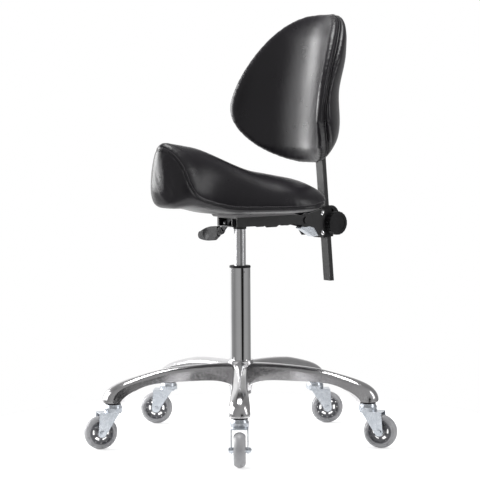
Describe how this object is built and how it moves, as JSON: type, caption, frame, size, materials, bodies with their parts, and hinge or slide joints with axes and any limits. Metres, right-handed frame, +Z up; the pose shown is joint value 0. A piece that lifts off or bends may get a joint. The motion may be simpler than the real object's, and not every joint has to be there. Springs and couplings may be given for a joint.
{
  "type": "saddle stool",
  "caption": "Height-adjustable saddle stool with a padded black seat, a wrap-around backrest on an adjustable bar and a polished star base on casters.",
  "frame": {"origin": "floor point under the column's axis", "axes": "+Z up along the column; -Y towards the seat's front; +X to the sitter's left"},
  "size_m": [0.6923, 0.7272, 1.027],
  "materials": {
    "polished_aluminium": "polished",
    "chrome": "mirror polished",
    "zinc": "bright zinc plate",
    "steel": "turned",
    "cylinder_steel": "satin ground",
    "black_vinyl": "semi-gloss grained",
    "black_steel": "satin powder coat",
    "black_plastic": "fine grained",
    "grey_tyre": "smooth",
    "grey_core": "smooth",
    "board": "moulded grey"
  },
  "bodies": {
    "base": {"star_base": "polished_aluminium", "column_tube": "chrome", "tube_bush": "black_plastic", "caster_stems": "zinc", "stem_washers": "black_plastic", "swivel_races": "zinc"},
    "turntable": {"thrust_bearing": "steel", "piston_rod": "steel", "rod_clip": "steel"},
    "seat": {"gas_cylinder": "cylinder_steel", "mech_channel": "black_steel", "seat_plate": "black_steel", "plate_screws": "zinc", "seat_board": "board", "seat_pad": "black_vinyl", "pivot_bolt": "black_steel", "lever_pin": "steel"},
    "release": {"release_pin": "steel"},
    "lever": {"lever_arm": "black_plastic", "lever_paddle": "black_plastic"},
    "back_frame": {"hinge_bracket": "black_steel", "under_strap": "zinc", "bar_holder": "black_plastic", "bracket_bolts": "chrome"},
    "side_clamp": {"side_knob": "black_plastic", "side_stud": "steel"},
    "rear_clamp": {"rear_knob": "black_plastic", "rear_stud": "steel"},
    "backrest": {"back_bar": "black_steel", "back_board": "board", "back_pad": "black_vinyl", "back_cover": "black_vinyl", "back_bolts": "chrome"},
    "caster_1": {"fork_1": "zinc", "axle_1": "zinc"},
    "wheel_1": {"tyre_1": "grey_tyre", "core_1": "grey_core", "bearings_1": "steel"},
    "caster_2": {"fork_2": "zinc", "axle_2": "zinc"},
    "wheel_2": {"tyre_2": "grey_tyre", "core_2": "grey_core", "bearings_2": "steel"},
    "caster_3": {"fork_3": "zinc", "axle_3": "zinc"},
    "wheel_3": {"tyre_3": "grey_tyre", "core_3": "grey_core", "bearings_3": "steel"},
    "caster_4": {"fork_4": "zinc", "axle_4": "zinc"},
    "wheel_4": {"tyre_4": "grey_tyre", "core_4": "grey_core", "bearings_4": "steel"},
    "caster_5": {"fork_5": "zinc", "axle_5": "zinc"},
    "wheel_5": {"tyre_5": "grey_tyre", "core_5": "grey_core", "bearings_5": "steel"}
  },
  "joints": [
    {"name": "seat_swivel", "type": "hinge", "parent": "base", "child": "turntable", "pos_m": [0, 0, 0.12], "axis": [0, 0, 1], "continuous": true},
    {"name": "seat_lift", "type": "slide", "parent": "turntable", "child": "seat", "axis": [0, 0, 1], "range_m": [-0.085, 0.055]},
    {"name": "lever_lift", "type": "hinge", "parent": "seat", "child": "lever", "pos_m": [-0.016, -0.03, 0.525], "axis": [0, 1, 0], "range_deg": [0, 8], "stiffness_Nm_per_rad": 2, "springref_deg": -8.59},
    {"name": "release_press", "type": "slide", "parent": "seat", "child": "release", "axis": [0, 0, -1], "range_m": [0, 0.0028]},
    {"name": "back_angle", "type": "hinge", "parent": "seat", "child": "back_frame", "pos_m": [0, 0.175, 0.526], "axis": [1, 0, 0], "range_deg": [-8, 8]},
    {"name": "back_height", "type": "slide", "parent": "back_frame", "child": "backrest", "axis": [0, -0.0837, 0.9965], "range_m": [-0.05, 0.08]},
    {"name": "side_clamp_turn", "type": "hinge", "parent": "back_frame", "child": "side_clamp", "pos_m": [0.03, 0.267, 0.515], "axis": [1, 0, 0], "range_deg": [0, 360]},
    {"name": "rear_clamp_turn", "type": "hinge", "parent": "back_frame", "child": "rear_clamp", "pos_m": [0, 0.26575, 0.52995], "axis": [0, 0.9965, 0.0837], "range_deg": [0, 360]},
    {"name": "caster_1_swivel", "type": "hinge", "parent": "base", "child": "caster_1", "pos_m": [0.24635, -0.19631, 0.09], "axis": [0, 0, 1], "continuous": true},
    {"name": "wheel_1_spin", "type": "hinge", "parent": "caster_1", "child": "wheel_1", "pos_m": [0.27059, -0.21563, 0.04], "axis": [0.6232, 0.7821, 0], "continuous": true},
    {"name": "caster_2_swivel", "type": "hinge", "parent": "base", "child": "caster_2", "pos_m": [0.26283, 0.17363, 0.09], "axis": [0, 0, 1], "continuous": true},
    {"name": "wheel_2_spin", "type": "hinge", "parent": "caster_2", "child": "wheel_2", "pos_m": [0.28869, 0.19072, 0.04], "axis": [-0.5512, 0.8344, 0], "continuous": true},
    {"name": "caster_3_swivel", "type": "hinge", "parent": "base", "child": "caster_3", "pos_m": [-0.08392, 0.30362, 0.09], "axis": [0, 0, 1], "continuous": true},
    {"name": "wheel_3_spin", "type": "hinge", "parent": "caster_3", "child": "wheel_3", "pos_m": [-0.06633, 0.32915, 0.04], "axis": [-0.8236, 0.5671, 0], "continuous": true},
    {"name": "caster_4_swivel", "type": "hinge", "parent": "base", "child": "caster_4", "pos_m": [-0.31469, 0.01401, 0.09], "axis": [0, 0, 1], "continuous": true},
    {"name": "wheel_4_spin", "type": "hinge", "parent": "caster_4", "child": "wheel_4", "pos_m": [-0.33565, -0.00882, 0.04], "axis": [0.7367, -0.6762, 0], "continuous": true},
    {"name": "caster_5_swivel", "type": "hinge", "parent": "base", "child": "caster_5", "pos_m": [-0.11057, -0.29496, 0.09], "axis": [0, 0, 1], "continuous": true},
    {"name": "wheel_5_spin", "type": "hinge", "parent": "caster_5", "child": "wheel_5", "pos_m": [-0.12145, -0.32398, 0.04], "axis": [0.9364, -0.351, 0], "continuous": true}
  ],
  "couplings": [
    {"joint": "release_press", "follows": "lever_lift", "m_per_rad": 0.0185}
  ]
}
